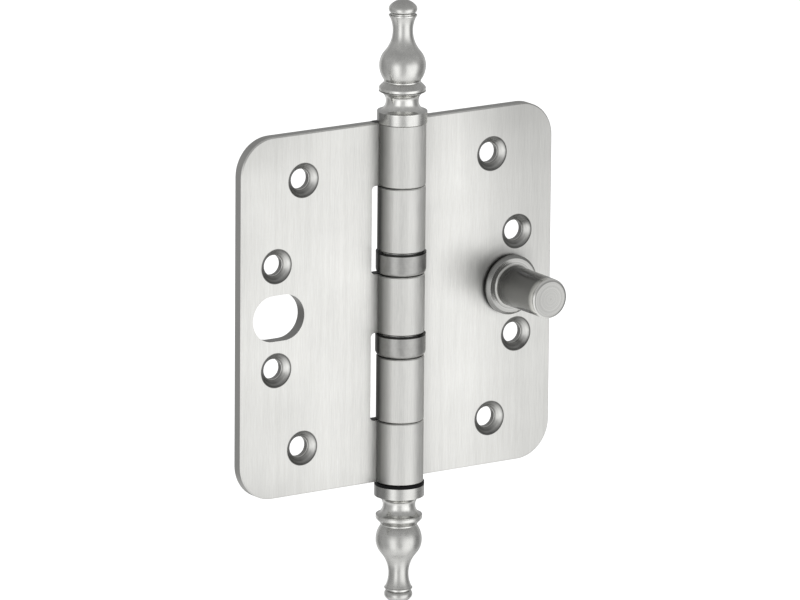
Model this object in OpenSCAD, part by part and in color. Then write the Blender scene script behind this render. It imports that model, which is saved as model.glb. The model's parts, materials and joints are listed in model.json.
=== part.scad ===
// Ball bearing hinge with turned finials and a security stud, lying open flat.
// The frame leaf is on the left and the door leaf on the right. X runs across the leaves,
// -Y is the countersunk side, and +Z is up along the pin. The origin is on the pin's axis,
// halfway up the leaves. All sizes are in millimetres.

/* [Leaves] */
// Height of both leaves
leaf_h = 89; // [84:1:110]
// Distance from the pin's axis to a leaf's free edge
leaf_reach = 44.5; // [43:0.5:60]
// Thickness of the sheet
leaf_t = 3; // [2.5:0.1:3.5]
// Radius of the leaves' outer corners
corner_r = 9; // [2:0.5:14]
// Chamfer on the free edges of the leaves
edge_break = 0.3; // [0.1:0.05:0.6]
// Space between the two countersunk faces when the hinge is shut
closed_gap = 2.9; // [2.2:0.1:4]
// Inner radius of the bend between a leaf's plate and its knuckles
bend_r = 2.5; // [2:0.1:4]
// Space between a knuckle and the edge of the notch that it turns in
notch_gap = 1.7; // [1:0.1:2.5]
// Radius in the corners of the notches
notch_corner_r = 1; // [0.5:0.1:1.5]

/* [Knuckles] */
// Height of the middle knuckle
mid_knuckle_h = 14.5; // [12:0.5:18]
// Height of the top and bottom knuckles
end_knuckle_h = 15.4; // [12:0.2:18]
// Running gap between a door knuckle and the end knuckle beside it
knuckle_gap = 0.15; // [0.1:0.05:0.3]
// Open seam where the curled sheet comes back to its own leaf
seam_gap = 0.15; // [0.1:0.05:0.4]
// Chamfer on the ends of the knuckles
knuckle_break = 0.25; // [0.1:0.05:0.4]

/* [Pin and washer] */
// Diameter of the hinge pin
pin_d = 5.5; // [5:0.1:6]
// Radial running clearance of the knuckles on the pin
pin_play = 0.05; // [0.02:0.01:0.1]
// Diameter of the tenons at the ends of the pin that hold the finials
tenon_d = 4; // [3:0.1:4.5]
// Length of each tenon
tenon_len = 7; // [4:0.5:8]
// Chamfer on the tip of each tenon
tenon_chamfer = 0.5; // [0.2:0.1:0.8]
// Space left in a finial's socket beyond the tip of its tenon
socket_gap = 0.5; // [0.2:0.1:1]
// Radial clearance of parts that are fixed on the pin or in a leaf
seat_play = 0.02; // [0.01:0.01:0.05]
// Thickness of the washer under the bottom knuckle
washer_h = 0.8; // [0.5:0.1:1.5]

/* [Ball bearings] */
// Height of a bearing between two knuckles
bearing_h = 5.8; // [5.4:0.1:7]
// Outer diameter of the bearing cup
cup_d = 12.2; // [12:0.1:12.8]
// Wall of the cup
cup_wall = 0.6; // [0.4:0.05:0.7]
// Floor of the cup
cup_floor = 0.5; // [0.3:0.05:0.8]
// Radius on the cup's outer lower edge
cup_round = 1.3; // [0.8:0.1:1.8]
// Open gap between the cup's rim and the knuckle above it
rim_gap = 0.35; // [0.2:0.05:0.5]
// Running clearance of the cage and the upper race inside the cup
cage_play = 0.12; // [0.1:0.01:0.2]
// Radial space between the pin and the races
race_play = 0.25; // [0.15:0.05:0.35]
// Diameter of a ball
ball_d = 2; // [1.6:0.1:2]
// Number of balls in each bearing
ball_count = 10; // [6:1:10]
// Clearance of a ball in its groove and its pocket
ball_play = 0.05; // [0.03:0.01:0.08]
// Depth of the groove that the balls run in
groove_depth = 0.35; // [0.2:0.05:0.5]
// Height of the ball cage
cage_h = 0.9; // [0.6:0.05:1]

/* [Screw holes] */
// Diameter of a screw hole
screw_d = 5; // [4:0.1:5.5]
// Diameter of the 90 degree countersink at the face of the leaf
sink_d = 8.4; // [7:0.1:9]
// Distance of the outer pair of holes from the pin's axis
outer_hole_x = 27; // [24:0.5:30]
// Height of the outer pair of holes above and below the middle
outer_hole_z = 33; // [30:0.5:36]
// Distance of the inner pair of holes from the pin's axis
inner_hole_x = 34.5; // [32:0.5:36]
// Height of the inner pair of holes above and below the middle
inner_hole_z = 12.8; // [12:0.2:16]

/* [Security stud] */
// Distance of the stud from the pin's axis
stud_x = 32.2; // [31:0.2:34]
// Length of the stud from the face of the leaf
stud_len = 18.3; // [12:0.1:18.5]
// Diameter of the stud beside its flange
stud_root_d = 10; // [8:0.1:10.6]
// Diameter of the stud at its free end
stud_tip_d = 9.8; // [7:0.1:10]
// Radius on the edge of the free end
stud_round = 0.9; // [0.4:0.1:1.5]
// Fillet at the foot of the stud on its flange
stud_fillet = 0.4; // [0.2:0.1:0.6]
// Diameter of the flange
flange_d = 14.7; // [13:0.1:15.5]
// Space between the flange and the other leaf when the hinge is shut
flange_gap = 0.8; // [0.4:0.1:1.2]
// Width of the bevel on the flange's front edge
flange_bevel = 0.7; // [0.3:0.1:1]
// Height and depth of the relief under the flange's edge
flange_relief = 0.4; // [0.2:0.1:0.6]
// Diameter of the shank riveted through the leaf
shank_d = 8; // [6:0.1:8.5]
// Depth and spread of the riveted head behind the leaf
rivet_head = 1; // [0.5:0.1:1.5]
// Radial space round the stud in the round inner end of the slot
slot_gap = 0.625; // [0.3:0.025:0.7]
// Length of the slot between its round ends, measured between their centres
slot_run = 3.25; // [3:0.25:5]

/* [Finials] */
// Diameter of the collar that seats on the barrel
collar_d = 12.1; // [11.6:0.1:13]
// Height of the collar
collar_h = 2.7; // [2:0.1:4]
// Radius of the neck between the collar and the ring
neck_r = 3.95; // [3.6:0.05:4.4]
// Radius of the coves at both ends of the neck
cove_r = 2.35; // [2:0.05:3]
// Straight length of the neck between its coves
neck_run = 0.25; // [0.1:0.05:1]
// Diameter of the ring under the bulb
ring_d = 11.3; // [10.6:0.1:12]
// Radius on the rim of the ring
ring_round = 0.6; // [0.4:0.05:0.8]
// Radius of the foot that carries the bulb
foot_r = 4.3; // [4:0.05:4.6]
// Radius of the small bead round the foot
bead_r = 0.15; // [0.1:0.05:0.4]
// Largest diameter of the bulb
bulb_d = 11.2; // [10.6:0.1:12]
// Arc radius of the bulb's lower half
bulb_low_r = 5.9; // [5.6:0.1:7]
// Arc radius of the bulb's upper half
bulb_high_r = 5.1; // [4.6:0.1:5.3]
// Smallest diameter of the throat above the bulb
throat_d = 4.86; // [4.2:0.02:5.6]
// Arc radius of the throat
throat_arc_r = 7.9; // [7:0.1:9]
// Diameter of the lip at the top of the throat
lip_d = 6.86; // [6.2:0.02:7.2]
// Edge radius of the lip
lip_round = 0.2; // [0.1:0.05:0.3]
// Diameter of the groove between the lip and the button
groove_d = 5.7; // [5:0.1:6]
// Height of the groove
groove_h = 0.25; // [0.1:0.05:0.5]
// Edge radius of the button
button_round = 1.15; // [1:0.05:1.3]
// Height of the button above its groove
button_h = 3.4; // [3:0.1:3.6]

/* [Hidden] */
$fn = 96;
eps = 0.01;
far = 200;
// Degrees by which the curl and the bend run into each other
bend_lap = 0.1;

// Levels along the pin
top_z = leaf_h / 2;
end_z = top_z - end_knuckle_h;
mid_z = mid_knuckle_h / 2;
bearing_z = mid_z + bearing_h;

// Radii round the pin
pin_r = pin_d / 2;
bore_r = pin_r + pin_play;
knuckle_r = bore_r + leaf_t;
notch_x = knuckle_r + notch_gap;

// The leaf's faces and the bend that carries its plate over into the curl of its knuckles
face_y = closed_gap / 2;
back_y = face_y + leaf_t;
bend_angle = acos((back_y + bend_r) / (knuckle_r + bend_r));
plate_x = (knuckle_r + bend_r) * sin(bend_angle);
curl_angle = asin((face_y - seam_gap) / knuckle_r);

// Countersinks
sink_depth = (sink_d - screw_d) / 2;

// Stud and slot
flange_h = closed_gap - flange_gap;
slot_r = stud_root_d / 2 + slot_gap;

// Bearings, measured up from the bearing's seat
race_in_r = pin_r + race_play;
cup_in_r = cup_d / 2 - cup_wall;
cage_out_r = cup_in_r - cage_play;
ball_r = ball_d / 2;
pitch_r = (race_in_r + cage_out_r) / 2;
ball_level = (cup_floor + bearing_h) / 2;
race_level = ball_r - groove_depth;
ball_step = 360 / ball_count;

// Finial levels, measured up from its seat
cove_level = collar_h + cove_r;
ring_level = cove_level + neck_run + cove_r + ring_round;
bevel_r = ring_d / 2 - ring_round * (1 - cos(45));
bevel_level = ring_level + ring_round * sin(45);
foot_level = bevel_level + bevel_r - foot_r;
bulb_foot_level = foot_level + 2 * bead_r;
bulb_low_x = bulb_d / 2 - bulb_low_r;
bulb_high_x = bulb_d / 2 - bulb_high_r;
bulb_level = bulb_foot_level + sqrt(pow(bulb_low_r, 2) - pow(foot_r - bulb_low_x, 2));
throat_x = throat_d / 2 + throat_arc_r;
arcs_r = bulb_high_r + throat_arc_r;
throat_level = bulb_level + sqrt(pow(arcs_r, 2) - pow(throat_x - bulb_high_x, 2));
join_level = bulb_level + (throat_level - bulb_level) * bulb_high_r / arcs_r;
lip_in_r = lip_d / 2 - lip_round;
lip_level = throat_level + sqrt(pow(throat_arc_r, 2) - pow(throat_x - lip_in_r, 2));
groove_level = lip_level + 2 * lip_round;
button_level = groove_level + groove_h + button_round;
button_x = lip_d / 2 - button_round;
button_top = groove_level + groove_h + button_h;
dome_rise = button_top - button_level;
dome_r = (pow(button_x, 2) + pow(dome_rise, 2) - pow(button_round, 2)) / (2 * (dome_rise - button_round));

UPPER_BALLS = [for (i = [1 : ball_count]) str("upper_ball_", i)];
LOWER_BALLS = [for (i = [1 : ball_count]) str("lower_ball_", i)];

// Pie slice from angle a0 to a1, less than half a turn, for cutting rings into arcs
module wedge(a0, a1) {
    mid = (a0 + a1) / 2;
    polygon([[0, 0], far * [cos(a0), sin(a0)], far * [cos(mid), sin(mid)], far * [cos(a1), sin(a1)]]);
}

// The curl that forms a knuckle, open where its end meets the leaf
module curl_section() {
    difference() {
        circle(knuckle_r);
        circle(bore_r);
        wedge(curl_angle, 90 - bend_angle - bend_lap);
    }
}

// Bent sheet that leads from the curl to the plate
module bend_section() {
    translate([plate_x, back_y + bend_r]) intersection() {
        difference() {
            circle(bend_r + leaf_t);
            circle(bend_r);
        }
        wedge(270 - bend_angle - bend_lap, 270);
    }
}

// Section of a leaf to the right of the pin, from its curl to its free edge
module sheet_section() {
    curl_section();
    bend_section();
    translate([plate_x, face_y]) square([leaf_reach - plate_x, leaf_t]);
}

// Half profile of the plate with its free edge chamfered; reach is along the first axis
module edge_section(reach) {
    polygon([[0, face_y], [reach - edge_break, face_y], [reach, face_y + edge_break],
             [reach, back_y - edge_break], [reach - edge_break, back_y], [0, back_y]]);
}

// Space that a leaf may fill: round corners and chamfered edges beside the barrel
module leaf_envelope() {
    run = leaf_reach - corner_r;
    translate([-2 * knuckle_r, -2 * knuckle_r, -top_z])
        cube([3 * knuckle_r + eps, 4 * knuckle_r, leaf_h]);
    linear_extrude(leaf_h - 2 * corner_r, center = true) edge_section(leaf_reach);
    for (side = [-1, 1]) {
        rotate([90, 0, 90]) linear_extrude(run) leaf_upright(side);
        translate([run, 0, side * (top_z - corner_r)]) rotate([-90, 0, 0])
            rotate_extrude() edge_section(corner_r);
    }
}

// Section across the plate's height with a chamfered top and bottom edge
module leaf_upright(side) {
    polygon([[face_y, 0], [face_y, side * (top_z - edge_break)], [face_y + edge_break, side * top_z],
             [back_y - edge_break, side * top_z], [back_y, side * (top_z - edge_break)], [back_y, 0]]);
}

// Notch for the other leaf's knuckle, from level z0 to z1
module notch(z0, z1) {
    r = notch_corner_r;
    rotate([90, 0, 0]) linear_extrude(far, center = true) {
        translate([-far, z0]) square([far + notch_x - r, z1 - z0]);
        translate([-far, z0 + r]) square([far + notch_x, z1 - z0 - 2 * r]);
        for (z = [z0 + r, z1 - r]) translate([notch_x - r, z]) circle(r);
    }
}

// Countersunk screw hole at x, z
module screw_hole(x, z) {
    translate([x, face_y, z]) rotate([-90, 0, 0]) {
        translate([0, 0, -eps]) cylinder(h = leaf_t + 2 * eps, d = screw_d);
        translate([0, 0, -eps]) cylinder(h = sink_depth + eps, d1 = sink_d + 2 * eps, d2 = screw_d);
    }
}

// Chamfer round the outer edge of a knuckle's end at level z; up is 1 for an upper end
module knuckle_chamfer(z, up) {
    translate([0, 0, z]) difference() {
        rotate_extrude() polygon([[knuckle_r - knuckle_break, 0], [knuckle_r + eps, 0],
                                  [knuckle_r + eps, -up * (knuckle_break + eps)]]);
        translate([0, face_y - seam_gap / 2, -knuckle_r])
            cube([2 * knuckle_r, knuckle_r, 2 * knuckle_r]);
    }
}

// A leaf to the right of the pin, before notches and holes
module leaf_blank() {
    intersection() {
        linear_extrude(leaf_h, center = true) sheet_section();
        leaf_envelope();
    }
}

// Countersunk holes that both leaves have
module screw_holes() {
    for (side = [-1, 1]) {
        screw_hole(outer_hole_x, side * outer_hole_z);
        screw_hole(inner_hole_x, side * inner_hole_z);
    }
}

// Slot that takes the stud when the hinge is shut
module stud_slot() {
    rotate([90, 0, 0]) linear_extrude(far, center = true) {
        translate([stud_x, -slot_r]) square([slot_run, 2 * slot_r]);
        for (x = [stud_x, stud_x + slot_run]) translate([x, 0]) circle(slot_r);
    }
}

// Left leaf with the top, middle and bottom knuckles
module frame_leaf() {
    color("silver") mirror([1, 0, 0]) difference() {
        leaf_blank();
        for (side = [-1, 1]) {
            notch(min(side * mid_z, side * end_z), max(side * mid_z, side * end_z));
            knuckle_chamfer(side * mid_z, side);
            knuckle_chamfer(side * end_z, -side);
            knuckle_chamfer(side * top_z, side);
        }
        screw_holes();
        stud_slot();
    }
}

// Hole in the door leaf that the stud's shank is riveted into
module stud_seat() {
    translate([stud_x, face_y, 0]) rotate([-90, 0, 0]) {
        translate([0, 0, -eps]) cylinder(h = leaf_t + 2 * eps, d = shank_d + 2 * seat_play);
        translate([0, 0, leaf_t - rivet_head])
            cylinder(h = rivet_head + eps, d1 = shank_d + 2 * seat_play,
                     d2 = shank_d + 2 * (rivet_head + seat_play + eps));
    }
}

// Right leaf with the two knuckles that turn
module door_leaf() {
    door_z = end_z - knuckle_gap;
    color("silver") difference() {
        leaf_blank();
        notch(-bearing_z, bearing_z);
        notch(door_z, far);
        notch(-far, -door_z);
        for (side = [-1, 1]) {
            knuckle_chamfer(side * bearing_z, -side);
            knuckle_chamfer(side * door_z, side);
        }
        screw_holes();
        stud_seat();
    }
}

// Pin with a chamfered tenon at each end
module hinge_pin() {
    foot_z = -top_z - washer_h;
    tip = tenon_chamfer;
    color("gainsboro") {
        translate([0, 0, foot_z]) cylinder(h = top_z - foot_z, d = pin_d);
        translate([0, 0, foot_z - tenon_len + tip])
            cylinder(h = top_z - foot_z + 2 * (tenon_len - tip), d = tenon_d);
        translate([0, 0, top_z + tenon_len - tip])
            cylinder(h = tip, d1 = tenon_d, d2 = tenon_d - 2 * tip);
        translate([0, 0, foot_z - tenon_len])
            cylinder(h = tip, d1 = tenon_d - 2 * tip, d2 = tenon_d);
    }
}

// Dark washer between the bottom knuckle and the bottom finial
module bottom_washer() {
    color("#1a1a1a") translate([0, 0, -top_z - washer_h]) difference() {
        cylinder(h = washer_h, d = collar_d);
        translate([0, 0, -eps]) cylinder(h = washer_h + 2 * eps, d = pin_d + 2 * seat_play);
    }
}

// Stud with its flange and shank, turned round the Y axis and riveted in the door leaf
module security_stud() {
    root_r = stud_root_d / 2;
    tip_r = stud_tip_d / 2;
    rim_r = flange_d / 2;
    shank_r = shank_d / 2;
    color("dimgray") translate([stud_x, face_y, 0]) rotate([90, 0, 0]) rotate_extrude() {
        polygon([[0, -leaf_t], [shank_r + rivet_head, -leaf_t], [shank_r, rivet_head - leaf_t],
                 [shank_r, 0], [rim_r - flange_relief, 0], [rim_r - flange_relief, flange_relief],
                 [rim_r, flange_relief], [rim_r, flange_h - flange_bevel],
                 [rim_r - flange_bevel, flange_h], [root_r, flange_h],
                 [root_r, flange_h + stud_fillet],
                 [tip_r, stud_len - stud_round], [0, stud_len - stud_round]]);
        difference() {
            translate([root_r - stud_fillet, flange_h]) square([2 * stud_fillet, stud_fillet]);
            translate([root_r + stud_fillet, flange_h + stud_fillet]) circle(stud_fillet);
        }
        intersection() {
            union() {
                translate([tip_r - stud_round, stud_len - stud_round]) circle(stud_round);
                translate([0, stud_len - 2 * stud_round]) square([tip_r - stud_round, 2 * stud_round]);
            }
            translate([0, flange_h]) square([tip_r, stud_len]);
        }
    }
}

// Outline of the finial's collar, neck, ring and foot
module finial_base_profile() {
    difference() {
        union() {
            square([collar_d / 2, cove_level]);
            translate([0, cove_level]) square([ring_d / 2, neck_run + cove_r]);
        }
        for (level = [cove_level, cove_level + neck_run])
            translate([neck_r + cove_r, level]) circle(cove_r);
        translate([neck_r, cove_level]) square([collar_d, neck_run]);
    }
    translate([0, ring_level - ring_round]) square([ring_d / 2 - ring_round, 2 * ring_round]);
    translate([ring_d / 2 - ring_round, ring_level]) circle(ring_round);
    polygon([[0, ring_level], [bevel_r, bevel_level], [foot_r, foot_level], [0, foot_level]]);
    translate([0, foot_level]) square([foot_r, 2 * bead_r]);
    translate([foot_r, foot_level + bead_r]) circle(bead_r);
}

// Outline of the bulb and the throat above it, as arcs that run into each other
module finial_bulb_profile() {
    intersection() {
        translate([bulb_low_x, bulb_level]) circle(bulb_low_r);
        translate([0, bulb_foot_level]) square([bulb_d, bulb_level - bulb_foot_level]);
    }
    intersection() {
        translate([bulb_high_x, bulb_level]) circle(bulb_high_r);
        translate([0, bulb_foot_level]) square([bulb_d, bulb_d]);
    }
    difference() {
        translate([0, join_level]) square([bulb_d / 2, lip_level - join_level]);
        translate([throat_x, throat_level]) circle(throat_arc_r);
    }
}

// Outline of the lip, the groove and the domed button
module finial_tip_profile() {
    translate([0, lip_level]) square([lip_in_r, 2 * lip_round]);
    translate([lip_in_r, lip_level + lip_round]) circle(lip_round);
    translate([0, groove_level]) square([groove_d / 2, groove_h + button_round]);
    translate([button_x, button_level]) circle(button_round);
    translate([0, groove_level + groove_h]) square([button_x, button_round]);
    intersection() {
        translate([0, button_top - dome_r]) circle(dome_r);
        translate([0, button_level]) square([button_x + button_round, button_h]);
        union() {
            polygon([[0, button_top - dome_r], 2 * [button_x, dome_r - dome_rise] + [0, button_top - dome_r],
                     [0, button_top + dome_r]]);
            translate([button_x, button_level]) circle(button_round);
        }
    }
}

// Finial standing on its seat, with the socket for the pin's tenon
module finial() {
    difference() {
        rotate_extrude() {
            square([throat_d / 2, button_level]);
            finial_base_profile();
            finial_bulb_profile();
            finial_tip_profile();
        }
        translate([0, 0, -eps]) cylinder(h = tenon_len + socket_gap + eps, d = tenon_d + 2 * seat_play);
    }
}

module top_finial() {
    color("silver") translate([0, 0, top_z]) finial();
}

module bottom_finial() {
    color("silver") mirror([0, 0, 1]) translate([0, 0, top_z + washer_h]) finial();
}

// Bearing cup standing on its seat, with a round lower edge
module cup() {
    color("gray") difference() {
        union() {
            rotate_extrude() {
                square([cup_d / 2 - cup_round, cup_round]);
                intersection() {
                    translate([cup_d / 2 - cup_round, cup_round]) circle(cup_round);
                    square([cup_d, cup_round]);
                }
            }
            translate([0, 0, cup_round]) cylinder(h = bearing_h - rim_gap - cup_round, d = cup_d);
        }
        translate([0, 0, cup_floor]) cylinder(h = bearing_h, r = cup_in_r);
        translate([0, 0, -eps]) cylinder(h = bearing_h, r = race_in_r);
    }
}

// Race with a groove for the balls, from level z0 to z1 above the bearing's seat
module race(z0, z1, out_r) {
    color("lightgray") difference() {
        translate([0, 0, z0]) cylinder(h = z1 - z0, r = out_r);
        translate([0, 0, z0 - eps]) cylinder(h = z1 - z0 + 2 * eps, r = race_in_r);
        rotate_extrude() translate([pitch_r, ball_level]) circle(ball_r + ball_play);
    }
}

module low_race() {
    race(cup_floor, ball_level - race_level, cup_in_r - seat_play);
}

module high_race() {
    race(ball_level + race_level, bearing_h, cage_out_r);
}

// Ring that keeps the balls apart
module cage() {
    color("#c8a850") difference() {
        translate([0, 0, ball_level - cage_h / 2]) cylinder(h = cage_h, r = cage_out_r);
        cylinder(h = bearing_h, r = race_in_r);
        for (i = [1 : ball_count]) rotate([0, 0, i * ball_step]) translate([pitch_r, 0, ball_level])
            sphere(ball_r + ball_play);
    }
}

// Ball number i of a bearing
module ball(i) {
    color("white") rotate([0, 0, i * ball_step]) translate([pitch_r, 0, ball_level]) sphere(ball_r);
}

// Seats of the two bearings: on the middle knuckle and on the lower door knuckle
module on_upper_seat() {
    translate([0, 0, mid_z]) children();
}

module on_lower_seat() {
    translate([0, 0, -bearing_z]) children();
}

frame_leaf();
door_leaf();
hinge_pin();
top_finial();
bottom_finial();
bottom_washer();
security_stud();
on_upper_seat() cup();  // upper_cup
on_upper_seat() low_race();  // upper_low_race
on_upper_seat() cage();  // upper_cage
on_upper_seat() high_race();  // upper_high_race
on_lower_seat() cup();  // lower_cup
on_lower_seat() low_race();  // lower_low_race
on_lower_seat() cage();  // lower_cage
on_lower_seat() high_race();  // lower_high_race
for (i = [1 : ball_count]) {
    on_upper_seat() ball(i);
    on_lower_seat() ball(i);
}
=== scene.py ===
import json
import math
import bpy
from mathutils import Matrix, Vector


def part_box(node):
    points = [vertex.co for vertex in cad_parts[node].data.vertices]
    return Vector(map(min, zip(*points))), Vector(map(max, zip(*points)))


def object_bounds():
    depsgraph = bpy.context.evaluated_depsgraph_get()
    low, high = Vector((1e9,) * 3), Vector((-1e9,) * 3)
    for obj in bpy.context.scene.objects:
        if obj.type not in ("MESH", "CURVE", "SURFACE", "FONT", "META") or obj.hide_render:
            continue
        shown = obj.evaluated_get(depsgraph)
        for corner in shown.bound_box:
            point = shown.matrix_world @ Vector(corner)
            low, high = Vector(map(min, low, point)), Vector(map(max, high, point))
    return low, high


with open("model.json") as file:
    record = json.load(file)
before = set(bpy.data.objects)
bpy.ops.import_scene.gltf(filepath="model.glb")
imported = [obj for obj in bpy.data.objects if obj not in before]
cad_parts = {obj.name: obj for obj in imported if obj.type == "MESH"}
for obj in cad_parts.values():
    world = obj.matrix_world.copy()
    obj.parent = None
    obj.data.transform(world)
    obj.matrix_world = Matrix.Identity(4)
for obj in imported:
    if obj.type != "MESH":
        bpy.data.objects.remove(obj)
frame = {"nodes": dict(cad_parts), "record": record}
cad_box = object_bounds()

scene = bpy.context.scene
scene.view_settings.view_transform = "Standard"

MM = 0.001

# Camera: degrees and millimetres
CAM_AZ = 33.355
CAM_EL = 14.095
CAM_ROLL = 0.473
CAM_DISTANCE = 2163.65
CAM_LENS = 404.85
CAM_AIM = Vector((-0.186, 0.0, 0.438)) * MM

# Surroundings: azimuth in degrees (0 in front, positive to the right) and brightness
ENVIRONMENT = [(-180, 0.72), (-166, 0.40), (-150, 0.30), (-128, 0.38), (-105, 0.42), (-90, 0.50),
               (-80, 0.78), (-68, 1.18), (-55, 1.20), (-43, 0.78), (-32, 0.58), (-20, 0.62),
               (-8, 1.04), (15, 1.20), (38, 1.10), (52, 0.54), (66, 0.28), (78, 0.24),
               (90, 0.32), (112, 0.54), (128, 0.48), (140, 0.36), (154, 0.38), (168, 0.58),
               (180, 0.72)]
SKY_LEVEL = 0.44
FLOOR_LEVEL = 0.88
# Heights on the unit sphere between which the surroundings turn to sky, and the floor to surroundings
SKY_FROM = (0.02, 0.42)
FLOOR_TO = (-0.92, -0.5)
# Floor: half its width in metres, and what it adds to the camera's white
FLOOR_HALF = 6.0
FLOOR_GLOW = 0.72


def node_box(name):
    """Lowest and highest corner of a node in millimetres."""
    return [[v / MM for v in corner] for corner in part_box(name)]


def screw_place(mount):
    """Distance of a pair of screw holes from the pin's axis, and of each hole from mid-height."""
    facts = next(m for m in frame["record"]["mounts"] if m["name"] == mount)
    return facts["pos_m"][0] / MM, facts["dims"]["spacing_y_mm"] / 2


# Places on the hinge that the finishes follow, in millimetres
OUTER_HOLES = screw_place("door_outer_screws")
INNER_HOLES = screw_place("door_inner_screws")
BARREL_R = node_box("frame_leaf")[1][1]
CUP_TOPS = [node_box(name)[1][2] for name in ("upper_cup", "lower_cup")]
TOP_SEAT = node_box("top_finial")[0][2]
BOTTOM_SEAT = -node_box("bottom_finial")[1][2]
STUD_X = sum(corner[0] for corner in node_box("security_stud")) / 2
STUD_R = 5.0
# Radii of a countersink at the leaf's face and at its foot, and of the ring where a highlight is painted in
# it
SINK_R = 4.2
SINK_BOTTOM_R = 2.6
PAINTED_GLINT_R = (2.8, 4.0)
# Levels on a finial above its seat: top of the collar, of the neck, then the rim, bead and lip where
# highlights are painted
COLLAR_TOP = 2.7
NECK_TOP = 7.6
RIM = (7.75, 8.45)
BEAD = (9.85, 10.15)
LIP = (26.0, 26.45)
# The outer edges lie beyond these distances from the middle, the holes and the slot within
EDGE_X = 41.0
EDGE_Z = 37.8

# Tones of the brushed plates, and of the barrel against them
BRUSHED_TONE = 0.92
BARREL_TONE = 0.86
# Nickel's slight warmth
TINT = (1.0, 0.998, 0.968)
# Most of a noise texture lies between these values
NOISE_LOW, NOISE_HIGH = 0.3, 0.7


def make_camera():
    az, el, roll = (math.radians(a) for a in (CAM_AZ, CAM_EL, CAM_ROLL))
    back = Vector((-math.sin(az) * math.cos(el), -math.cos(az) * math.cos(el), math.sin(el)))
    flat_right = (-back).cross(Vector((0, 0, 1))).normalized()
    flat_up = flat_right.cross(-back)
    right = flat_right * math.cos(roll) + flat_up * math.sin(roll)
    up = flat_up * math.cos(roll) - flat_right * math.sin(roll)
    data = bpy.data.cameras.new("camera")
    data.lens = CAM_LENS
    data.sensor_width = 36.0
    data.sensor_fit = "HORIZONTAL"
    data.clip_start = 0.05
    data.clip_end = 20.0
    cam = bpy.data.objects.new("camera", data)
    scene.collection.objects.link(cam)
    turn = Matrix((right, up, back)).transposed().to_4x4()
    cam.matrix_world = Matrix.Translation(CAM_AIM + back * CAM_DISTANCE * MM) @ turn
    scene.camera = cam


class Graph:
    """Short names for building a node tree."""

    def __init__(self, tree):
        self.tree = tree
        self.tree.nodes.clear()

    def add(self, kind, inputs=None, **attrs):
        node = self.tree.nodes.new(kind)
        for name, value in attrs.items():
            setattr(node, name, value)
        for name, value in (inputs or {}).items():
            self.put(node.inputs[name], value)
        return node

    def put(self, socket, value):
        if isinstance(value, bpy.types.NodeSocket):
            self.tree.links.new(value, socket)
        else:
            socket.default_value = value

    def math(self, operation, a, b=0.0):
        node = self.add("ShaderNodeMath", operation=operation)
        self.put(node.inputs[0], a)
        self.put(node.inputs[1], b)
        return node.outputs[0]

    def product(self, first, *others):
        for other in others:
            first = self.math("MULTIPLY", first, other)
        return first

    def total(self, first, *others):
        for other in others:
            first = self.math("ADD", first, other)
        return first

    def minus(self, a, b):
        return self.math("SUBTRACT", a, b)

    def size(self, value):
        return self.math("ABSOLUTE", value)

    def length(self, a, b):
        return self.math("SQRT", self.total(self.product(a, a), self.product(b, b)))

    def vector(self, operation, a, b):
        node = self.add("ShaderNodeVectorMath", operation=operation)
        self.put(node.inputs[0], a)
        self.put(node.inputs[1], b)
        return node.outputs[0]

    def combine(self, x, y, z):
        return self.add("ShaderNodeCombineXYZ", {"X": x, "Y": y, "Z": z}).outputs["Vector"]

    def split(self, vector):
        out = self.add("ShaderNodeSeparateXYZ", {"Vector": vector}).outputs
        return out["X"], out["Y"], out["Z"]

    def to_world(self, vector, kind="VECTOR"):
        """Direction in the hinge's own axes, carried over to the scene's."""
        return self.add("ShaderNodeVectorTransform", {"Vector": vector}, vector_type=kind,
                        convert_from="OBJECT", convert_to="WORLD").outputs["Vector"]

    def noise(self, vector, scale, detail=2.0, roughness=0.5):
        node = self.add("ShaderNodeTexNoise", {"Vector": vector, "Scale": scale,
                                               "Detail": detail, "Roughness": roughness})
        return node.outputs["Fac"]

    def remap(self, value, low, high, to_low=0.0, to_high=1.0):
        node = self.add("ShaderNodeMapRange", {"Value": value, "From Min": low, "From Max": high,
                                               "To Min": to_low, "To Max": to_high})
        return node.outputs["Result"]

    def spread(self, noise, low, high):
        """Noise carried over to the range from low to high."""
        return self.remap(noise, NOISE_LOW, NOISE_HIGH, low, high)

    def within(self, value, low, high, soft):
        """1 between low and high, 0 outside, with soft borders."""
        up = self.remap(value, low - soft, low + soft)
        down = self.remap(value, high - soft, high + soft, 1.0, 0.0)
        return self.product(up, down)

    def ramp(self, value, stops, interpolation="LINEAR"):
        """Grey level by value; stops are pairs of value and level."""
        low, high = stops[0][0], stops[-1][0]
        node = self.add("ShaderNodeValToRGB", {"Fac": self.remap(value, low, high)})
        node.color_ramp.interpolation = interpolation
        elements = node.color_ramp.elements
        while len(elements) > 1:
            elements.remove(elements[-1])
        for i, (at, level) in enumerate(stops):
            share = (at - low) / (high - low)
            element = elements[0] if i == 0 else elements.new(share)
            element.position = share
            element.color = grey(level)
        return node.outputs["Color"]

    def mix(self, factor, a, b):
        """Colour or vector between a and b."""
        node = self.add("ShaderNodeMix", data_type="RGBA")
        self.put(node.inputs["Factor"], factor)
        self.put(node.inputs[6], a)
        self.put(node.inputs[7], b)
        return node.outputs[2]

    def blend(self, factor, a, b):
        """Number between a and b."""
        return self.total(a, self.product(factor, self.minus(b, a)))

    def to_output(self, kind, shader, output):
        """Shows a shader's output as the surface of the material or world."""
        self.put(self.add(kind).inputs["Surface"], shader.outputs[output])


def grey(level):
    return (level, level, level, 1.0)


def material(name):
    mat = bpy.data.materials.new(name)
    mat.use_nodes = True
    return mat, Graph(mat.node_tree)


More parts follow.
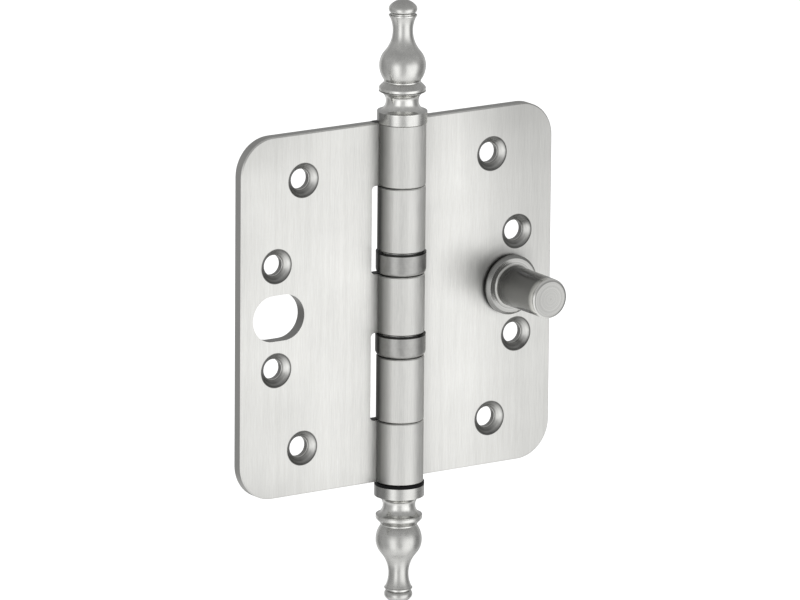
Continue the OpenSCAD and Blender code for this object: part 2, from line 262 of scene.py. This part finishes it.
def place(g):
    """Position in millimetres, whole and split, and direction of the surface, in the hinge's axes."""
    source = g.add("ShaderNodeTexCoord").outputs
    spot = g.vector("MULTIPLY", source["Object"], (1 / MM, 1 / MM, 1 / MM))
    return spot, g.split(spot), g.split(source["Normal"])


def side_shade(g, way, least, edge):
    """Painted shade: the flank of a round piece that looks left is darker, least beside the leaf, edge
    behind that, and the flank that looks far right is a little darker too.
    """
    left = g.ramp(way[1], [(-1.0, 1.0), (-0.62, 1.0), (-0.35, 0.56), (-0.05, least),
                           (0.08, edge), (0.5, edge), (0.75, 1.0), (1.0, 1.0)])
    right = g.ramp(way[0], [(0.0, 1.0), (0.5, 1.0), (0.8, 0.66), (1.0, 0.8)])
    return g.mix(g.remap(way[0], -0.5, -0.35), left, right)


def turned_rings(g, at, pitch):
    """Fine rings round the pin's axis; pitch in rings per millimetre."""
    return g.noise(g.combine(g.length(at[0], at[1]), at[2], 0.0), pitch, 3.0, 0.7)


def round_pin(g):
    """Lay of what is turned about the pin's axis."""
    return g.add("ShaderNodeTangent", direction_type="RADIAL", axis="Z").outputs["Tangent"]


def metal(g, tone, rough, height, bump, anisotropy, lay, facing=None):
    """Metal of a given tone and roughness, with a relief bump metres deep and its lay."""
    relief = g.add("ShaderNodeBump", {"Strength": 1.0, "Distance": bump, "Height": height})
    if facing:
        g.put(relief.inputs["Normal"], facing)
    shader = g.add("ShaderNodeBsdfPrincipled", {
        "Base Color": g.vector("MULTIPLY", tone, TINT), "Metallic": 1.0, "Roughness": rough,
        "Anisotropic": anisotropy, "Anisotropic Rotation": 0.25,
        "Normal": relief.outputs["Normal"], "Tangent": lay})
    g.to_output("ShaderNodeOutputMaterial", shader, "BSDF")


def hole_distance(g, at):
    """Distance from the nearest screw hole's centre, and the offset from it to the right and up."""
    across = g.size(at[0])
    along = g.size(at[2])
    inner = g.math("LESS_THAN", along, (OUTER_HOLES[1] + INNER_HOLES[1]) / 2)
    hole_x = g.blend(inner, OUTER_HOLES[0], INNER_HOLES[0])
    hole_z = g.blend(inner, OUTER_HOLES[1], INNER_HOLES[1])
    right = g.product(g.minus(across, hole_x), g.math("SIGN", at[0]))
    up = g.product(g.minus(along, hole_z), g.math("SIGN", at[2]))
    return g.length(right, up), right, up


def painted_plate_light(g, at, way):
    """Painted light and shade over the plates: palest beside the barrel, darker to the outer edges, and a
    painted shadow round the stud.
    """
    # Painted light and shade across and along the plates, with painted shade close beside the barrel on the
    # right
    across = g.ramp(at[0], [(-44.5, 0.93), (-30.0, 0.96), (-17.0, 1.0), (-10.0, 0.98),
                            (-5.0, 0.98), (5.0, 0.80), (7.5, 0.80), (10.5, 0.985),
                            (17.0, 1.04), (26.0, 0.98), (35.0, 0.87), (44.5, 0.83)])
    along = g.ramp(at[2], [(-44.5, 0.93), (-33.0, 0.97), (-10.0, 1.0),
                           (10.0, 1.0), (33.0, 0.96), (44.5, 0.91)])
    middle = g.ramp(g.size(at[2]), [(0.0, 0.16), (20.0, 0.10), (34.0, 0.10), (44.0, 0.0)])
    left = g.blend(g.remap(at[0], -22.0, -40.0), 1.0, g.total(middle, 0.9))
    right = g.product(g.remap(at[0], 17.0, 29.0), g.remap(at[2], -5.0, 40.0), 0.19)
    # Painted shadow round the stud, on the plates' front only
    from_stud = g.length(g.minus(at[0], STUD_X - 2.0), g.minus(at[2], 2.5))
    painted_stud_shadow = g.ramp(from_stud, [(6.0, 0.62), (8.0, 0.88), (11.0, 1.0), (16.0, 1.0)])
    in_front = g.remap(way[1], -0.5, -0.6)
    return g.product(across, along, g.minus(left, right), g.blend(in_front, 1.0, painted_stud_shadow))


def countersink(g, at, way):
    """Where the countersinks are, their tone (turned rings kept dark by painted shade, with a painted
    highlight on their right side), the painted shade on their rim, turned rings and their lay.
    """
    distance, right, up = hole_distance(g, at)
    turned = g.noise(g.combine(distance, g.product(up, 0.1), 0.0), 2.4, 3.0, 0.75)
    inside = g.product(g.within(distance, SINK_BOTTOM_R, SINK_R, 0.05), g.remap(way[1], -0.93, -0.87))
    # Painted highlight on each countersink's right side
    painted_glint_right = g.ramp(g.math("DIVIDE", right, distance),
                      [(-1.0, 0.0), (0.1, 0.02), (0.6, 0.20), (0.88, 0.48), (1.0, 0.62)])
    tone = g.total(g.spread(turned, 0.12, 0.40), g.product(painted_glint_right, g.within(distance, *PAINTED_GLINT_R, 0.2)))
    # Painted shade: a dark ring along each countersink's outer edge
    rim = g.remap(g.within(distance, SINK_R - 0.12, SINK_R + 0.12, 0.06), 0.0, 1.0, 1.0, 0.35)
    return inside, tone, rim, turned, g.combine(g.product(up, -1.0), 0.0, right)


def sheared_edge(g, at, way):
    """Tone of the sheet's cut edges: dull sheared metal, the outer ones pale, those in holes and windows
    darker with painted shade.
    """
    outer = g.math("MAXIMUM", g.remap(g.size(at[0]), EDGE_X - 0.1, EDGE_X),
                   g.remap(g.size(at[2]), EDGE_Z - 0.1, EDGE_Z))
    return g.blend(outer, 0.36, g.remap(g.size(way[2]), 0.3, 0.8, 0.62, 0.46))


def leaf_metal(name, least, edge):
    """Brushed sheet: fine upright lines, dull sheared edges, turned countersinks, with painted shade on the
    barrel and painted light and shade over the plates.
    """
    mat, g = material(name)
    spot, at, way = place(g)
    fine = g.noise(g.vector("MULTIPLY", spot, (4.0, 4.0, 0.22)), 1.0, 3.0, 0.7)
    wide = g.noise(g.vector("MULTIPLY", spot, (0.9, 0.9, 0.03)), 1.0, 2.0, 0.6)
    patch = g.noise(spot, 0.06, 3.0, 0.55)
    off_barrel = g.remap(g.size(at[0]), BARREL_R + 0.4, BARREL_R + 1.2)
    on_barrel = g.minus(1.0, off_barrel)
    in_sink, cone, rim, turned, turned_lay = countersink(g, at, way)

    # Barrel: painted shade on its flanks; plates: painted light and shade
    level = g.blend(off_barrel, g.product(side_shade(g, way, least, edge), BARREL_TONE), painted_plate_light(g, at, way))
    streaks = g.total(g.spread(fine, -0.07, 0.07), g.spread(wide, -0.03, 0.03), BRUSHED_TONE)
    tone = g.product(g.blend(in_sink, g.product(level, streaks), cone), rim)
    sheared = g.product(off_barrel, g.remap(g.size(way[1]), 0.35, 0.55, 1.0, 0.0))
    tone = g.blend(sheared, tone, sheared_edge(g, at, way))
    # Painted shade: the knuckles' end faces in the seams between them are near black
    shaded_knuckle_end = g.product(on_barrel, g.remap(g.size(way[2]), 0.80, 0.93))
    tone = g.blend(shaded_knuckle_end, tone, 0.03)

    rough = g.total(g.spread(patch, 0.36, 0.44), g.spread(fine, -0.05, 0.05), g.product(on_barrel, 0.08))
    lay = g.to_world(g.mix(in_sink, (0.02, 0.01, 1.0, 1.0), turned_lay))
    metal(g, tone, rough, g.blend(in_sink, fine, turned), 0.000003, 0.5, lay)
    return mat


def outward(g, at, zone):
    """Surface direction that turns straight out from the pin's axis where zone is 1."""
    out = g.to_world(g.combine(at[0], at[1], 0.0), "NORMAL")
    surface = g.add("ShaderNodeNewGeometry").outputs["Normal"]
    return g.vector("NORMALIZE", g.mix(zone, surface, out), (0.0, 0.0, 0.0))


def finial_metal(name, seat, tones, rough):
    """Turned finial: fine rings, mottled polish, painted shade on its slopes and the collar's flanks, a
    smoother neck with a painted highlight, painted highlights on the rim, bead and lip.
    """
    mat, g = material(name)
    spot, at, way = place(g)
    level = g.minus(g.size(at[2]), seat)
    rings = turned_rings(g, at, 9.0)
    patch = g.noise(g.vector("MULTIPLY", spot, (1.1, 1.1, 0.5)), 1.0, 4.0, 0.65)
    # Painted shade on faces that slope up or down
    painted_slope_shade = g.remap(g.size(way[2]), 0.35, 0.9, 1.0, 0.68)
    # Painted shade on the collar's flanks
    flank = g.mix(g.math("LESS_THAN", level, COLLAR_TOP), grey(1.0), side_shade(g, way, 0.6, 0.5))
    neck = g.within(level, COLLAR_TOP, NECK_TOP, 0.3)
    # Painted highlights on the bead, lip and rim, which also turn their surface straight out
    painted_glint_band = g.math("MAXIMUM", g.within(level, *BEAD, 0.05), g.within(level, *LIP, 0.05))
    painted_glint_band = g.math("MAXIMUM", painted_glint_band, g.product(g.within(level, *RIM, 0.12), 0.7))
    # The neck's tone is raised by a painted highlight
    tone = g.product(g.spread(rings, *tones), g.spread(patch, 0.90, 1.08), painted_slope_shade, flank,
                     g.remap(neck, 0.0, 1.0, 1.0, 1.14))
    polish = g.total(g.spread(patch, rough - 0.05, rough + 0.05), g.product(neck, -0.11),
                     g.spread(rings, -0.03, 0.03))
    metal(g, g.blend(painted_glint_band, tone, 0.95), polish, rings, 0.000002, 0.45, round_pin(g), outward(g, at, painted_glint_band))
    return mat


def round_metal(name, tones, rough, pitch, bump, anisotropy):
    """Metal turned about the pin's axis."""
    mat, g = material(name)
    spot, at, _ = place(g)
    rings = turned_rings(g, at, pitch)
    patch = g.noise(spot, 0.09, 3.0, 0.55)
    polish = g.total(g.spread(patch, rough - 0.03, rough + 0.03), g.spread(rings, -0.03, 0.03))
    metal(g, g.spread(rings, *tones), polish, rings, bump, anisotropy, round_pin(g))
    return mat


def cup_metal():
    """Drawn cup: dull and mottled, with painted shade along its open rim below the knuckle and on its
    flanks.
    """
    mat, g = material("cup_drawn")
    spot, at, way = place(g)
    rings = turned_rings(g, at, 9.0)
    patch = g.noise(g.vector("MULTIPLY", spot, (0.9, 0.9, 0.6)), 1.0, 4.0, 0.65)
    # Painted shade: upward faces and a band at each cup's top are near black
    rim = g.remap(way[2], 0.25, 0.5, 1.0, 0.04)
    for top in CUP_TOPS:
        at_top = g.within(at[2], top - 0.30, top + 1.0, 0.06)
        rim = g.product(rim, g.remap(at_top, 0.0, 1.0, 1.0, 0.06))
    tone = g.product(g.spread(rings, 0.47, 0.55), g.spread(patch, 0.88, 1.10),
                     side_shade(g, way, 0.32, 0.08), rim)
    rough = g.total(g.spread(patch, 0.36, 0.44), g.spread(rings, -0.03, 0.03))
    metal(g, tone, rough, rings, 0.000003, 0.4, round_pin(g))
    return mat


def stud_metal():
    """Turned stud: dark body, paler end face and flange, a painted highlight round the end's rounding, the
    end face painted lighter to the right, painted shade in a thin ring on the flange by the body, and near
    black painted shade in the relief under the flange.
    """
    mat, g = material("stud_turned")
    spot, at, _ = place(g)
    off_axis = g.minus(at[0], STUD_X)
    radius = g.length(off_axis, at[2])
    rings = g.noise(g.combine(radius, at[1], 0.0), 5.0, 3.0, 0.7)
    patch = g.noise(spot, 0.12, 3.0, 0.55)
    # The end's rounding carries a painted highlight
    end = [(-16.9, 0.48), (-16.8, 0.55), (-16.5, 0.92), (-15.8, 0.86), (-14.9, 0.55)]
    body = [(-14.2, 0.24), (-2.0, 0.18), (-1.2, 0.26)]
    flange = [(-0.95, 0.85), (-0.66, 0.66), (-0.6, 0.36), (0.35, 0.28)]
    # Painted shade, near black, in the relief under the flange
    relief_shade_and_tail = [(0.55, 0.02), (2.6, 0.02), (3.4, 0.42), (6.0, 0.42)]
    # Painted shade in a thin ring on the flange close to the body
    groove_shade = g.remap(g.within(radius, STUD_R + 0.5, STUD_R + 0.75, 0.08), 0.0, 1.0, 1.0, 0.85)
    # Painted light: the end face is lighter to the right
    face = g.mix(g.math("LESS_THAN", at[1], -16.6), grey(1.0), g.remap(off_axis, -4.0, 4.0, 0.92, 1.05))
    tone = g.product(g.ramp(at[1], end + body + flange + relief_shade_and_tail),
                     g.spread(rings, 0.84, 1.16), groove_shade, face)
    rough = g.product(g.total(g.spread(patch, 0.20, 0.28), g.spread(rings, -0.04, 0.04)),
                      g.remap(at[1], -15.6, -15.0, 0.6, 1.0))
    lay = g.to_world(g.combine(g.product(at[2], -1.0), 0.0, off_axis))
    metal(g, tone, rough, rings, 0.000003, 0.4, lay)
    return mat


def chrome():
    """Polished ball."""
    mat, g = material("ball_chrome")
    grain = g.noise(place(g)[0], 3.0, 3.0, 0.65)
    metal(g, g.spread(grain, 0.66, 0.74), g.spread(grain, 0.10, 0.16), grain, 0.0000005, 0.0, round_pin(g))
    return mat


def nylon(name, colour, rough, gloss):
    """Moulded nylon with a fine grain."""
    mat, g = material(name)
    grain = g.noise(g.add("ShaderNodeTexCoord").outputs["Object"], 2500.0, 3.0, 0.6)
    dark, pale = ([c * share for c in colour] + [1.0] for share in (0.8, 1.2))
    relief = g.add("ShaderNodeBump", {"Strength": 0.6, "Distance": 0.00002, "Height": grain})
    shader = g.add("ShaderNodeBsdfPrincipled", {
        "Base Color": g.mix(grain, dark, pale), "Normal": relief.outputs["Normal"],
        "Specular IOR Level": gloss, "Roughness": g.remap(grain, 0.2, 0.8, rough - 0.06, rough + 0.08)})
    g.to_output("ShaderNodeOutputMaterial", shader, "BSDF")
    return mat


def dress(names, mat):
    for name in names:
        for slot in frame["nodes"][name].material_slots:
            slot.material = mat


def dress_all():
    # The two numbers after each leaf's finish set the painted shade on its barrel's flanks
    dress(["frame_leaf"], leaf_metal("frame_leaf_brushed", 0.24, 0.22))
    dress(["door_leaf"], leaf_metal("door_leaf_brushed", 0.28, 0.16))
    dress(["top_finial"], finial_metal("top_finial_turned", TOP_SEAT, (0.74, 0.82), 0.25))
    dress(["bottom_finial"], finial_metal("bottom_finial_turned", BOTTOM_SEAT, (0.68, 0.77), 0.28))
    dress(["upper_cup", "lower_cup"], cup_metal())
    dress(["security_stud"], stud_metal())
    dress(["hinge_pin"], round_metal("pin_turned", (0.30, 0.36), 0.30, 9.0, 0.000002, 0.4))
    dress(["upper_low_race", "upper_high_race", "lower_low_race", "lower_high_race"],
          round_metal("race_turned", (0.40, 0.46), 0.24, 12.0, 0.000001, 0.3))
    dress(["%s_ball_%d" % (end, i + 1) for end in ("upper", "lower") for i in range(10)], chrome())
    dress(["upper_cage", "lower_cage"], nylon("cage_nylon_grain", (0.55, 0.42, 0.18), 0.45, 0.5))
    dress(["bottom_washer"], nylon("washer_nylon_grain", (0.005, 0.005, 0.006), 0.5, 0.15))


def make_world():
    """Studio with soft upright strips; white to the camera."""
    world = bpy.data.worlds.new("studio")
    scene.world = world
    world.use_nodes = True
    g = Graph(world.node_tree)
    x, y, z = g.split(g.add("ShaderNodeTexCoord").outputs["Generated"])
    azimuth = g.math("DEGREES", g.math("ARCTAN2", x, g.product(y, -1.0)))
    strips = g.ramp(azimuth, ENVIRONMENT, "EASE")
    sky = g.mix(g.remap(z, *SKY_FROM), strips, grey(SKY_LEVEL))
    around = g.mix(g.remap(z, *FLOOR_TO, 1.0, 0.0), sky, grey(FLOOR_LEVEL))
    path = g.add("ShaderNodeLightPath").outputs
    seen = g.math("MAXIMUM", path["Is Camera Ray"], path["Is Transmission Ray"])
    shader = g.add("ShaderNodeBackground", {"Color": g.mix(seen, around, grey(1.0)), "Strength": 1.0})
    g.to_output("ShaderNodeOutputWorld", shader, "Background")


def floor_matt():
    """Matt floor that keeps the shadow, is white to the camera and isn't mirrored in the metal."""
    mat, g = material("floor_white")
    grain = g.noise(g.add("ShaderNodeTexCoord").outputs["Object"], 40.0, 2.0)
    path = g.add("ShaderNodeLightPath").outputs
    matte = g.add("ShaderNodeBsdfDiffuse", {"Color": g.mix(grain, grey(0.78), grey(0.82))})
    glow = g.add("ShaderNodeEmission", {"Color": grey(1.0),
                                        "Strength": g.product(path["Is Camera Ray"], FLOOR_GLOW)})
    lit = g.add("ShaderNodeAddShader")
    g.put(lit.inputs[0], matte.outputs["BSDF"])
    g.put(lit.inputs[1], glow.outputs["Emission"])
    clear = g.add("ShaderNodeBsdfTransparent")
    pick = g.add("ShaderNodeMixShader", {"Fac": path["Is Glossy Ray"]})
    g.put(pick.inputs[1], lit.outputs["Shader"])
    g.put(pick.inputs[2], clear.outputs["BSDF"])
    g.to_output("ShaderNodeOutputMaterial", pick, "Shader")
    return mat


def make_floor():
    """Plain floor just under the lower finial."""
    low = cad_box[0][2]
    corners = [(-FLOOR_HALF, -FLOOR_HALF, low), (FLOOR_HALF, -FLOOR_HALF, low),
               (FLOOR_HALF, FLOOR_HALF, low), (-FLOOR_HALF, FLOOR_HALF, low)]
    mesh = bpy.data.meshes.new("floor")
    mesh.from_pydata(corners, [], [(0, 1, 2, 3)])
    mesh.materials.append(floor_matt())
    floor = bpy.data.objects.new("floor", mesh)
    scene.collection.objects.link(floor)


def softbox(name, az, el, distance, width, height, power):
    """Area lamp that looks at the hinge; degrees, metres and watts."""
    a, e = math.radians(az), math.radians(el)
    towards = Vector((math.sin(a) * math.cos(e), -math.cos(a) * math.cos(e), math.sin(e)))
    data = bpy.data.lights.new(name, "AREA")
    data.shape = "RECTANGLE"
    data.size = width
    data.size_y = height
    data.energy = power
    lamp = bpy.data.objects.new(name, data)
    scene.collection.objects.link(lamp)
    turn = towards.to_track_quat("Z", "Y").to_matrix().to_4x4()
    lamp.matrix_world = Matrix.Translation(towards * distance) @ turn
    lamp.visible_camera = False
    lamp.visible_glossy = False


make_camera()
make_world()
softbox("top_soft", az=10, el=65, distance=1.2, width=1.0, height=1.0, power=4.0)
make_floor()
dress_all()
